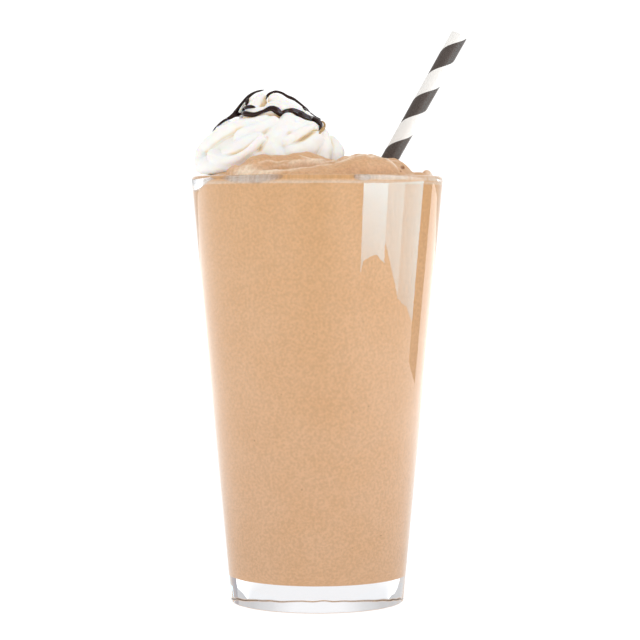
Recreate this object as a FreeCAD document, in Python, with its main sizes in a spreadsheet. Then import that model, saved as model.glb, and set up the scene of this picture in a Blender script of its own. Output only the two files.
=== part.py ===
"""A chocolate milkshake served in a heavy, straight-sided mixing glass.

Four separate pieces stand together: the clear glass, the thick milkshake that fills it and heaps above
its rim, a swirl of whipped cream laid on the heap, and a striped paper straw pushed in beside the cream.

Frame: millimetres, +Z up, origin at the centre of the glass's foot. +X runs towards the side that the
straw leans to, and -Y is the front.
"""

import FreeCAD, Part
import Sketcher
import math
import os

from FreeCAD import Placement, Rotation, Vector

OUT_DIR = "parts"
FULL_TURN = 2 * math.pi

# Driving dimensions, in millimetres, degrees or plain counts.
SIZES = {
    # mixing glass
    "glass_height": 150,
    "rim_diameter": 89,
    "foot_diameter": 61,
    "rim_wall": 3.2,
    "foot_wall": 5.0,
    "floor_thickness": 9,
    "heel_radius": 2.0,
    "lip_radius": 1.3,
    "floor_corner_radius": 5,
    # milkshake: the level at the wall and the heap above it
    "fill_below_rim": 2.2,
    "heap_rise": 6.6,
    "front_mound_rise": 3.4,
    "front_mound_width": 34,
    "front_mound_depth": 18,
    "side_mound_rise": 3.0,
    "side_mound_width": 26,
    "side_mound_depth": 24,
    "fold_height": 0.7,
    "fold_count": 4,
    "fold_sweep": 150,
    "dab_height": 2.8,
    "dab_width": 6,
    # whipped cream swirl
    "cream_diameter": 56,
    "cream_height": 29.5,
    "cream_overhang": 2.4,
    "cream_setback": 5,
    "cream_above_rim": 0.5,
    "cream_lobes": 7,
    "cream_groove": 5.5,
    "cream_twist": 120,
    "cream_tail": 2,
    "cream_tip_radius": 1.5,
    # paper straw
    "straw_length": 158.5,
    "straw_diameter": 6,
    "straw_wall": 0.45,
    "straw_lean": 29.4,
    "straw_lean_back": 6,
    "straw_from_wall": 19.2,
    "straw_setback": 4,
    "straw_foot_gap": 1.5,
}

# Angles round the glass, in degrees from +X towards the back: where each mound and dab of the heap lies.
FRONT_MOUND_AT = 258
SIDE_MOUND_AT = 345
DABS_AT = (354, 332, 224)
TAIL_AT = 12


def fill_sheet(doc):
    """Writes the driving dimensions into a spreadsheet, one named cell each."""
    sheet = doc.addObject("Spreadsheet::Sheet", "Sizes")
    for row, (alias, value) in enumerate(SIZES.items(), start=1):
        sheet.set(f"A{row}", alias)
        sheet.set(f"B{row}", str(value))
        sheet.setAlias(f"B{row}", alias)
    doc.recompute()
    return sheet


def size(sheet, alias):
    """A driving dimension as a plain number."""
    return float(sheet.get(alias))


def origin_plane(body, role):
    """The body's own origin plane with that role."""
    return next(f for f in body.Origin.OriginFeatures if f.Role == role)


def new_sketch(body, name, role):
    """An empty sketch lying on one of the body's origin planes."""
    sketch = body.newObject("Sketcher::SketchObject", name)
    sketch.AttachmentSupport = [(origin_plane(body, role), "")]
    sketch.MapMode = "FlatFace"
    return sketch


def draw_polygon(sketch, corners):
    """A closed polygon whose corners are placed by expressions: (across, up, across text, up text)."""
    count = len(corners)
    for i, corner in enumerate(corners):
        after = corners[(i + 1) % count]
        start, end = Vector(corner[0], corner[1], 0), Vector(after[0], after[1], 0)
        sketch.addGeometry(Part.LineSegment(start, end), False)
    for i in range(count):
        sketch.addConstraint(Sketcher.Constraint("Coincident", i, 2, (i + 1) % count, 1))
    for i, (across, up, across_text, up_text) in enumerate(corners):
        for kind, value, text in (("DistanceX", across, across_text), ("DistanceY", up, up_text)):
            number = sketch.addConstraint(Sketcher.Constraint(kind, -1, 1, i, 1, value))
            if text:
                sketch.setExpression(f"Constraints[{number}]", text)


def revolved(body, name, sketch):
    """A full turn of the sketch about the vertical axis."""
    feature = body.newObject("PartDesign::Revolution", name)
    feature.Profile = sketch
    feature.ReferenceAxis = (sketch, ["V_Axis"])
    feature.Angle = 360
    sketch.Visibility = False
    return feature


def ring_edges(shape, radius, height):
    """Names of the circular edges of that radius at that height."""
    found = []
    for number, edge in enumerate(shape.Edges, start=1):
        curve = edge.Curve
        if not isinstance(curve, Part.Circle):
            continue
        if abs(curve.Radius - radius) < 1e-4 and abs(curve.Center.z - height) < 1e-4:
            found.append(f"Edge{number}")
    if not found:
        raise RuntimeError(f"no ring of radius {radius} at height {height}")
    return found


def fillet_rings(doc, body, name, base, rings, radius_text):
    """Rounds the rings (radius, height) of the base feature; the rounding is bound to an expression."""
    doc.recompute()
    edges = [edge for radius, height in rings for edge in ring_edges(base.Shape, radius, height)]
    fillet = body.newObject("PartDesign::Fillet", name)
    fillet.Base = (base, edges)
    fillet.setExpression("Radius", radius_text)
    doc.recompute()
    return fillet


class GlassInside:
    """The tapered hollow of the glass, worked out from its outside and its walls."""

    def __init__(self, sheet):
        self.top = size(sheet, "glass_height")
        self.floor = size(sheet, "floor_thickness")
        self.top_radius = size(sheet, "rim_diameter") / 2 - size(sheet, "rim_wall")
        outside_at_floor = self.outside(sheet, self.floor)
        self.floor_radius = outside_at_floor - size(sheet, "foot_wall")
        self.taper = (self.top_radius - self.floor_radius) / (self.top - self.floor)

    @staticmethod
    def outside(sheet, height):
        """Outside radius of the glass at a height."""
        foot, rim = size(sheet, "foot_diameter") / 2, size(sheet, "rim_diameter") / 2
        return foot + (rim - foot) * height / size(sheet, "glass_height")

    def radius(self, height):
        """Inside radius at a height, carried on at the same taper above the rim."""
        return self.floor_radius + self.taper * (height - self.floor)


OUTSIDE_AT_FLOOR = (
    "(Sizes.foot_diameter + (Sizes.rim_diameter - Sizes.foot_diameter)"
    " * Sizes.floor_thickness / Sizes.glass_height) / 2"
)
FLOOR_RADIUS = f"{OUTSIDE_AT_FLOOR} - Sizes.foot_wall"
TOP_RADIUS = "Sizes.rim_diameter / 2 - Sizes.rim_wall"


def make_glass(doc, sheet, inside):
    """The mixing glass: a heavy floor, a straight tapered wall and a rounded lip."""
    body = doc.addObject("PartDesign::Body", "Glass")
    body.Label = "glass"
    foot, rim = size(sheet, "foot_diameter") / 2, size(sheet, "rim_diameter") / 2
    sketch = new_sketch(body, "GlassProfile", "XZ_Plane")
    draw_polygon(
        sketch,
        [
            (0, 0, None, None),
            (foot, 0, "Sizes.foot_diameter / 2", None),
            (rim, inside.top, "Sizes.rim_diameter / 2", "Sizes.glass_height"),
            (inside.top_radius, inside.top, TOP_RADIUS, "Sizes.glass_height"),
            (inside.floor_radius, inside.floor, FLOOR_RADIUS, "Sizes.floor_thickness"),
            (0, inside.floor, None, "Sizes.floor_thickness"),
        ],
    )
    blank = revolved(body, "GlassTurn", sketch)
    lip = fillet_rings(
        doc, body, "Lip", blank, [(rim, inside.top), (inside.top_radius, inside.top)], "Sizes.lip_radius"
    )
    heel = fillet_rings(doc, body, "Heel", lip, [(foot, 0)], "Sizes.heel_radius")
    fillet_rings(
        doc, body, "FloorCorner", heel, [(inside.floor_radius, inside.floor)], "Sizes.floor_corner_radius"
    )
    return body


def make_straw(doc, sheet, placement):
    """The paper straw: a straight thin-walled tube."""
    body = doc.addObject("PartDesign::Body", "Straw")
    body.Label = "straw"
    sketch = new_sketch(body, "StrawRing", "XY_Plane")
    outer = size(sheet, "straw_diameter") / 2
    inner = outer - size(sheet, "straw_wall")
    rings = (
        (outer, "Sizes.straw_diameter / 2"),
        (inner, "Sizes.straw_diameter / 2 - Sizes.straw_wall"),
    )
    for number, (radius, text) in enumerate(rings):
        sketch.addGeometry(Part.Circle(Vector(), Vector(0, 0, 1), radius), False)
        sketch.addConstraint(Sketcher.Constraint("Coincident", number, 3, -1, 1))
        constraint = sketch.addConstraint(Sketcher.Constraint("Radius", number, radius))
        sketch.setExpression(f"Constraints[{constraint}]", text)
    pad = body.newObject("PartDesign::Pad", "StrawTube")
    pad.Profile = sketch
    pad.setExpression("Length", "Sizes.straw_length")
    sketch.Visibility = False
    body.Placement = placement
    return body


def straw_placement(sheet, inside):
    """Where the straw lies: it crosses the rim's plane beside the wall, and its foot stops short of the
    wall on the other side.

    The foot is found by halving: the straw's axis is followed down from the rim until the rim of its
    lower end is the named gap from the glass.
    """
    lean = math.radians(size(sheet, "straw_lean"))
    back = math.radians(size(sheet, "straw_lean_back"))
    direction = Vector(math.tan(lean), math.tan(back), 1).normalize()
    entry_across = inside.top_radius - size(sheet, "straw_from_wall")
    entry = Vector(entry_across, size(sheet, "straw_setback"), inside.top)
    reach = size(sheet, "straw_diameter") / 2 + size(sheet, "straw_foot_gap")
    near, far = 0.0, inside.top / direction.z
    for _ in range(50):
        middle = (near + far) / 2
        foot = entry - direction * middle
        across = math.hypot(foot.x, foot.y)
        clear_of_wall = across + reach < inside.radius(foot.z)
        clear_of_floor = foot.z - reach > inside.floor + size(sheet, "floor_corner_radius")
        near, far = (middle, far) if clear_of_wall and clear_of_floor else (near, middle)
    return Placement(entry - direction * near, Rotation(Vector(0, 0, 1), direction))


def heap_height(sheet, inside, x, y):
    """Height of the milkshake's top at a point: a low dome, two mounds, a few dabs by the rim and
    spiral folds left by the pour."""
    reach = inside.top_radius
    across, angle = math.hypot(x, y), math.atan2(y, x)
    share = min(across / reach, 1.0)
    height = inside.top - size(sheet, "fill_below_rim")
    height += size(sheet, "heap_rise") * (1 - share**5) ** 0.8

    def bump(at_degrees, distance, along, outward, rise):
        """A rounded rise, longer round the glass than across it."""
        at = math.radians(at_degrees)
        out = x * math.cos(at) + y * math.sin(at) - distance
        side = -x * math.sin(at) + y * math.cos(at)
        return rise * math.exp(-((out / (outward / 2)) ** 2) - (side / (along / 2)) ** 2)

    fade = 1 - share**6
    for name, at in (("front_mound", FRONT_MOUND_AT), ("side_mound", SIDE_MOUND_AT)):
        depth, width = size(sheet, f"{name}_depth"), size(sheet, f"{name}_width")
        height += fade * bump(at, reach - depth, width, depth, size(sheet, f"{name}_rise"))
    dab = size(sheet, "dab_width")
    for at in DABS_AT:
        height += bump(at, reach - dab / 2, dab, dab, size(sheet, "dab_height"))
    turn = size(sheet, "fold_count") * angle + math.radians(size(sheet, "fold_sweep")) * share * 2
    height += size(sheet, "fold_height") * math.sin(turn) * share * fade
    return height


def clamped_knots(count, degree=3):
    """Multiplicities and knots of a clamped uniform spline with that many poles."""
    spans = count - degree
    return [degree + 1] + [1] * (spans - 1) + [degree + 1], [float(i) for i in range(spans + 1)]


def heap_tool(doc, sheet, inside):
    """The space under the milkshake's uneven top, as a block deeper than the glass."""
    half, cells = inside.radius(inside.top + size(sheet, "heap_rise")) + size(sheet, "rim_wall"), 30
    places = [half * (2 * i / (cells - 1) - 1) for i in range(cells)]
    poles = [[Vector(x, y, heap_height(sheet, inside, x, y)) for y in places] for x in places]
    mults, knots = clamped_knots(cells)
    surface = Part.BSplineSurface()
    surface.buildFromPolesMultsKnots(poles, mults, mults, knots, knots, False, False, 3, 3)
    block = doc.addObject("Part::Feature", "HeapBlock")
    block.Shape = surface.toShape().extrude(Vector(0, 0, -2 * inside.top))
    return block


def make_heap(doc, sheet, inside):
    """All that the milkshake takes up, straw or no straw: the hollow wall to wall, and the heap above."""
    body = doc.addObject("PartDesign::Body", "HollowFill")
    sketch = new_sketch(body, "HollowProfile", "XZ_Plane")
    above = inside.top + 3 * size(sheet, "heap_rise")
    above_text = "Sizes.glass_height + 3 * Sizes.heap_rise"
    taper_text = f"(({TOP_RADIUS}) - ({FLOOR_RADIUS})) / (Sizes.glass_height - Sizes.floor_thickness)"
    above_radius_text = f"{TOP_RADIUS} + 3 * Sizes.heap_rise * {taper_text}"
    draw_polygon(
        sketch,
        [
            (0, inside.floor, None, "Sizes.floor_thickness"),
            (inside.floor_radius, inside.floor, FLOOR_RADIUS, "Sizes.floor_thickness"),
            (inside.radius(above), above, above_radius_text, above_text),
            (0, above, None, above_text),
        ],
    )
    blank = revolved(body, "HollowTurn", sketch)
    fillet_rings(
        doc, body, "FillCorner", blank, [(inside.floor_radius, inside.floor)], "Sizes.floor_corner_radius"
    )
    heap = doc.addObject("Part::Common", "Heap")
    heap.Base, heap.Tool = body, heap_tool(doc, sheet, inside)
    return heap


def make_straw_passage(doc, placement):
    """The room that the straw takes up, as a plain rod of its outer diameter."""
    passage = doc.addObject("Part::Cylinder", "StrawPassage")
    passage.setExpression("Radius", "Sizes.straw_diameter / 2")
    passage.setExpression("Height", "Sizes.straw_length")
    passage.Placement = placement
    return passage


def cut(doc, name, base, tool):
    """The base without what it shares with the tool."""
    result = doc.addObject("Part::Cut", name)
    result.Base, result.Tool = base, tool
    return result


def make_milkshake(doc, heap, passage):
    """The milkshake: the heap, closed round the straw."""
    shake = cut(doc, "Milkshake", heap, passage)
    shake.Label = "milkshake"
    return shake


def cream_point(sheet, turn, rise):
    """A point of the cream's outside, about its own axis.

    turn runs once round and rise from 0 at the base to 1 at the tip. The outline bulges a little above
    the base and closes like a dome; rounded lobes with grooves between them wind round it, and one lobe
    trails out at the base where the piping began.
    """
    radius, height = size(sheet, "cream_diameter") / 2, size(sheet, "cream_height")
    lobes = size(sheet, "cream_lobes")
    tip = size(sheet, "cream_tip_radius")
    tuck = 0.1 * (1 - min(rise * 5, 1.0)) ** 2
    outline = 1 - rise**2 - tuck
    phase = lobes * (turn - math.radians(size(sheet, "cream_twist")) * rise)
    groove = 1 - abs(math.cos(phase / 2))
    depth = size(sheet, "cream_groove") * outline
    across = tip + (radius - tip) * outline - depth * groove**1.5
    towards_tail = math.cos(turn - math.radians(TAIL_AT))
    across += size(sheet, "cream_tail") * max(towards_tail, 0.0) ** 6 * (1 - rise) ** 2
    return Vector(across * math.cos(turn), across * math.sin(turn), height * rise)


def cream_blank(doc, sheet, inside):
    """The whole swirl on a flat base, standing just above the rim's level."""
    around, up = 8 * int(size(sheet, "cream_lobes")), 12
    poles = [
        [cream_point(sheet, FULL_TURN * i / around, j / (up - 1)) for j in range(up)] for i in range(around)
    ]
    up_mults, up_knots = clamped_knots(up)
    around_mults, around_knots = [1] * (around + 1), [float(i) for i in range(around + 1)]
    surface = Part.BSplineSurface()
    surface.buildFromPolesMultsKnots(
        poles, around_mults, up_mults, around_knots, up_knots, True, False, 3, 3
    )
    side = surface.toShape()
    low, high = (
        Part.Face(Part.Wire(surface.vIso(knot).toShape())) for knot in (up_knots[0], up_knots[-1])
    )
    shell = Part.Shell([side, low, high])
    solid = Part.Solid(shell)
    if solid.Volume < 0:
        solid.reverse()
    blank = doc.addObject("Part::Feature", "CreamSwirl")
    blank.Shape = solid
    radius = size(sheet, "cream_diameter") / 2
    off_centre = inside.top_radius + size(sheet, "cream_overhang") - radius
    blank.Placement = Placement(
        Vector(-off_centre, size(sheet, "cream_setback"), inside.top + size(sheet, "cream_above_rim")),
        Rotation(),
    )
    return blank


def make_cream(doc, sheet, inside, heap, passage):
    """The whipped cream: its underside is the shape of the heap that it lies on, and a swirl wide enough to
    reach the straw closes round it."""
    on_heap = cut(doc, "CreamOnHeap", cream_blank(doc, sheet, inside), heap)
    cream = cut(doc, "Cream", on_heap, passage)
    cream.Label = "whipped_cream"
    return cream


def check_document(doc):
    """Stops if any object of the document failed to build."""
    for item in doc.Objects:
        if "Invalid" in item.State or "Error" in item.State:
            raise RuntimeError(f"{item.Name} failed: {item.State}")


def export(piece):
    """Writes one sub-part as a STEP file named after its label."""
    shape = piece.Shape
    if shape.isNull() or not shape.isValid():
        raise RuntimeError(f"{piece.Label} has no valid shape")
    solids = shape.Solids
    if len(solids) != 1:
        raise RuntimeError(f"{piece.Label} is {len(solids)} solids, not one: {[s.Volume for s in solids]}")
    solids[0].exportStep(os.path.join(OUT_DIR, f"{piece.Label}.step"))
    print(f"{piece.Label}: volume {solids[0].Volume / 1000:.2f} cm3")


def main():
    """Builds the document and writes every sub-part."""
    doc = FreeCAD.newDocument("Milkshake")
    sheet = fill_sheet(doc)
    inside = GlassInside(sheet)
    placement = straw_placement(sheet, inside)
    glass = make_glass(doc, sheet, inside)
    straw = make_straw(doc, sheet, placement)
    heap = make_heap(doc, sheet, inside)
    passage = make_straw_passage(doc, placement)
    shake = make_milkshake(doc, heap, passage)
    cream = make_cream(doc, sheet, inside, heap, passage)
    doc.recompute()
    check_document(doc)
    os.makedirs(OUT_DIR, exist_ok=True)
    for piece in (glass, shake, cream, straw):
        export(piece)


main()
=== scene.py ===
"""A chocolate milkshake in a mixing glass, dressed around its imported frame.

The frame gives the place and the size of the glass, the drink, the cream and the straw. This script makes
the surfaces that are seen: clear pressed glass, thick milk foam with its heaped and folded top, piped
cream, thin chocolate sauce and a spiral-wound paper straw. Shapes are worked out in millimetres with numpy
and go into the meshes in metres.
"""

import logging
import math
from dataclasses import dataclass, field
from enum import Enum

import bpy
import numpy as np
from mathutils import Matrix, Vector


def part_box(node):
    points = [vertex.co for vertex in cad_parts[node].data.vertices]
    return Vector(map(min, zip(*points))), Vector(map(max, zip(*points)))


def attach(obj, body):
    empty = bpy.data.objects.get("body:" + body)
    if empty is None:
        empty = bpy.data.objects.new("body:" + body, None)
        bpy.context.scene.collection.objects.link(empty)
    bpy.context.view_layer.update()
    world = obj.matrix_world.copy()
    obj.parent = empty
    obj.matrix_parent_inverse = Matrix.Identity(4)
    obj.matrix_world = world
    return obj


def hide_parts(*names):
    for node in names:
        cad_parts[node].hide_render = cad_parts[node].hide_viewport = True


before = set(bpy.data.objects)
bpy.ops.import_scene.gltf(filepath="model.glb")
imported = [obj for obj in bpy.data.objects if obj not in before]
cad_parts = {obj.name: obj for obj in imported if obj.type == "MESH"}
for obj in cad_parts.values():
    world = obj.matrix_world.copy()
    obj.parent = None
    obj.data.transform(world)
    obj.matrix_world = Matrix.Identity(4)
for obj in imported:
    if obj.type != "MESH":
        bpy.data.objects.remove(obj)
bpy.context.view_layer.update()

MM = 0.001
FULL_TURN = 2 * math.pi
# Where the lens stands, in millimetres: in front, far off, and a little below the rim.
EYE = np.array([0.96, -847.0, 135.0])

log = logging.getLogger("milkshake")


# --- frame


def node_box(name: str) -> tuple[np.ndarray, np.ndarray]:
    """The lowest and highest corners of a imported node.

    Args:
        name: the node's name.

    Returns:
        Both corners, in millimetres.
    """
    low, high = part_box(name)
    return np.array(low) / MM, np.array(high) / MM


def node_points(name: str) -> np.ndarray:
    """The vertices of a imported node.

    Args:
        name: the node's name.

    Returns:
        An array of points, in millimetres.
    """
    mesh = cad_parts[name].data
    flat = np.empty(len(mesh.vertices) * 3)
    mesh.vertices.foreach_get("co", flat)
    return flat.reshape(-1, 3) / MM


# --- numerics


def unit(vectors: np.ndarray) -> np.ndarray:
    """Vectors scaled to length one along their last axis."""
    return vectors / np.maximum(np.linalg.norm(vectors, axis=-1, keepdims=True), 1e-12)


def smooth_step(low: float, high: float, value: np.ndarray) -> np.ndarray:
    """0 below low, 1 above high and a cubic ease between them."""
    share = np.clip((value - low) / (high - low), 0.0, 1.0)
    return share * share * (3 - 2 * share)


def smooth_least(a: np.ndarray, b: np.ndarray, width: float) -> np.ndarray:
    """The lesser of two distances, rounded where they meet.

    Formula: the plain minimum less a quadratic fillet, which is widest where the two are equal and gone
    where they differ by more than the width.

    Args:
        a: first distance.
        b: second distance.
        width: how far apart the two may be and still blend.

    Returns:
        The blended distance.
    """
    share = np.maximum(width - np.abs(a - b), 0.0) / width
    return np.minimum(a, b) - share * share * width / 4


def ripples(points: np.ndarray, wavelength: float, seed: int, count: int = 14) -> np.ndarray:
    """Smooth random relief between about -1 and 1.

    Formula: the mean of plane sine waves that run in random directions with random phases, scaled so that
    the result's spread doesn't depend on how many waves there are.

    Args:
        points: where to work it out.
        wavelength: the middle wavelength, in the points' units.
        seed: picks the pattern.
        count: number of waves.

    Returns:
        One value for each point.
    """
    rng = np.random.default_rng(seed)
    directions = unit(rng.normal(size=(count, 3)))
    lengths = wavelength * rng.uniform(0.7, 1.4, count)
    phases = rng.uniform(0, FULL_TURN, count)
    total = np.zeros(points.shape[:-1])
    for direction, length, phase in zip(directions, lengths, phases):
        total += np.sin(points @ direction * (FULL_TURN / length) + phase)
    return total / math.sqrt(2 * count)


def spline_through(points: np.ndarray, count: int) -> np.ndarray:
    """A smooth curve through a few points.

    Formula: a Catmull-Rom spline, whose slope at each point is half the step between its neighbours,
    sampled at equal shares of its chord length.

    Args:
        points: the points that it passes, one row each.
        count: how many samples to take.

    Returns:
        The sampled curve, one row each.
    """
    padded = np.vstack([2 * points[0] - points[1], points, 2 * points[-1] - points[-2]])
    steps = np.linalg.norm(np.diff(points, axis=0), axis=1)
    reached = np.concatenate([[0.0], np.cumsum(steps)])
    place = np.interp(np.linspace(0, reached[-1], count), reached, np.arange(len(points)))
    span = np.minimum(place.astype(int), len(points) - 2)
    t = (place - span)[:, None]
    before, start, end, after = (padded[span + i] for i in range(4))
    curve = 2 * start + (end - before) * t
    curve += (2 * before - 5 * start + 4 * end - after) * t**2
    curve += (3 * start - before - 3 * end + after) * t**3
    return curve / 2


# --- meshes


def ring_faces(rings: int, around: int, first: int, wrap_rings: bool) -> np.ndarray:
    """Quads between closed rings of vertices.

    Args:
        rings: number of rings.
        around: vertices in each ring.
        first: index of the first ring's first vertex.
        wrap_rings: whether the last ring joins the first.

    Returns:
        Four vertex indices for each quad.
    """
    row = np.arange(rings if wrap_rings else rings - 1)[:, None] * around
    above = (row + around) % (rings * around)
    here, beside = np.arange(around)[None, :], (np.arange(around)[None, :] + 1) % around
    corners = [row + here, row + beside, above + beside, above + here]
    return np.stack(corners, axis=-1).reshape(-1, 4) + first


def new_piece(name: str, points: np.ndarray, faces: list, materials: list) -> bpy.types.Object:
    """A smooth-shaded mesh object at the origin.

    Args:
        name: the piece's name.
        points: vertices, in millimetres.
        faces: vertex indices, wound so that faces point outwards.
        materials: its finishes, in slot order.

    Returns:
        The new object, which rides on the root body.
    """
    mesh = bpy.data.meshes.new(name)
    mesh.from_pydata((points * MM).tolist(), [], faces)
    mesh.shade_smooth()
    for material in materials:
        mesh.materials.append(material)
    piece = bpy.data.objects.new(name, mesh)
    bpy.context.scene.collection.objects.link(piece)
    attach(piece, "root")
    return piece


def skin(rings: np.ndarray, start: np.ndarray, end: np.ndarray) -> tuple[np.ndarray, list]:
    """A closed skin through rings of points, shut by a single point at each end.

    Args:
        rings: points by ring and place in the ring; rings turn right-handed about the way they follow.
        start: the point before the first ring.
        end: the point after the last ring.

    Returns:
        Its vertices, and the vertex indices of its faces.
    """
    count, around = rings.shape[:2]
    points = np.vstack([start[None], rings.reshape(-1, 3), end[None]])
    quads = ring_faces(count, around, 1, wrap_rings=False)
    here, beside = np.arange(around) + 1, (np.arange(around) + 1) % around + 1
    top = (count - 1) * around
    first_fan = np.stack([np.zeros_like(here), beside, here], axis=1)
    last_fan = np.stack([np.full_like(here, len(points) - 1), here + top, beside + top], axis=1)
    return points, quads.tolist() + first_fan.tolist() + last_fan.tolist()


def mark(piece: bpy.types.Object, name: str, values: np.ndarray) -> None:
    """Gives a piece a named value at each vertex, for its material to read.

    Args:
        piece: the piece.
        name: the value's name.
        values: one for each vertex.
    """
    piece.data.attributes.new(name, "FLOAT", "POINT").data.foreach_set("value", values)


def swept_frames(path: np.ndarray, up: np.ndarray) -> tuple[np.ndarray, np.ndarray]:
    """Side and up directions along a path, square to it.

    Args:
        path: points along the path.
        up: the wished up direction at each point.

    Returns:
        The side and the up directions; side, up and the path's direction are right-handed in that order.
    """
    along = unit(np.gradient(path, axis=0))
    side = unit(np.cross(up, along))
    return side, np.cross(along, side)


# --- materials


def linear(hex_colour: str) -> tuple[float, float, float, float]:
    """An sRGB hex colour as linear light.

    Args:
        hex_colour: six hex digits.

    Returns:
        Red, green, blue and an alpha of 1.
    """
    parts = [int(hex_colour[i : i + 2], 16) / 255 for i in (0, 2, 4)]
    lit = [p / 12.92 if p <= 0.04045 else ((p + 0.055) / 1.055) ** 2.4 for p in parts]
    return (*lit, 1.0)


def add_node(
    tree: bpy.types.NodeTree, kind: str, inputs: dict | None = None, stops: list | None = None, **settings
) -> bpy.types.Node:
    """Adds a node, sets it up and links it.

    Args:
        tree: the node tree.
        kind: the node's type name after ShaderNode.
        inputs: by input name or number, an output socket to link or a value to set.
        stops: for a colour ramp, pairs of place and linear colour.
        settings: the node's own properties.

    Returns:
        The node.
    """
    node = tree.nodes.new("ShaderNode" + kind)
    for key, value in settings.items():
        setattr(node, key, value)
    for key, value in (inputs or {}).items():
        if isinstance(value, bpy.types.NodeSocket):
            tree.links.new(value, node.inputs[key])
        else:
            node.inputs[key].default_value = value
    if stops:
        elements = node.color_ramp.elements
        while len(elements) < len(stops):
            elements.new(1.0)
        for element, (place, colour) in zip(elements, stops):
            element.position, element.color = place, colour
    return node


def grey(level: float) -> tuple[float, float, float, float]:
    """A grey of that much linear light."""
    return (level, level, level, 1.0)


def empty_material(name: str) -> tuple[bpy.types.Material, bpy.types.NodeTree]:
    """Starts a material.

    Args:
        name: its name.

    Returns:
        The material and its node tree, which is empty.
    """
    material = bpy.data.materials.new(name)
    material.use_nodes = True
    material.node_tree.nodes.clear()
    return material, material.node_tree


def end_with_relief(
    tree: bpy.types.NodeTree, relief: bpy.types.NodeSocket, strength: float, depth_mm: float, inputs: dict
) -> None:
    """Ends a material with a principled surface whose fine relief follows a pattern.

    Args:
        tree: the node tree.
        relief: the pattern.
        strength: how much of the relief shows.
        depth_mm: how deep it is.
        inputs: what goes into the surface's sockets.
    """
    height = {"Height": relief, "Strength": strength, "Distance": depth_mm * MM}
    normal = add_node(tree, "Bump", height).outputs["Normal"]
    surface = add_node(tree, "BsdfPrincipled", {**inputs, "Normal": normal})
    add_node(tree, "OutputMaterial", {"Surface": surface.outputs[0]})


@dataclass(frozen=True)
class PressedGlass:
    """Soda-lime glass, pressed in a mould and fire polished.

    Clear and colourless with a faint grey body, perfectly smooth, so it shows only by what it mirrors at
    its edges and by how it bends what is behind it.
    """

    tint: str = "eaebee"
    index: float = 1.5

    def material(self) -> bpy.types.Material:
        """Builds it. Lamps shine straight through to the drink, so that it is lit as in thin glass.

        Returns:
            The material.
        """
        material, tree = empty_material("pressed_soda_lime_glass")
        tint = linear(self.tint)
        body = {"Base Color": tint, "Roughness": 0.0, "IOR": self.index, "Transmission Weight": 1.0}
        glass = add_node(tree, "BsdfPrincipled", body)
        straight = add_node(tree, "BsdfTransparent", {"Color": tint})
        path = add_node(tree, "LightPath")
        either = {0: path.outputs["Is Shadow Ray"], 1: path.outputs["Is Diffuse Ray"]}
        through = add_node(tree, "Math", either, operation="MAXIMUM")
        both = {"Fac": through.outputs[0], 1: glass.outputs[0], 2: straight.outputs[0]}
        add_node(tree, "OutputMaterial", {"Surface": add_node(tree, "MixShader", both).outputs[0]})
        return material


class FoamSurface(Enum):
    """Where the milk foam lies: wetted against the glass, or open to the air."""

    AGAINST_GLASS = "against_glass"
    OPEN = "open"


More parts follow.
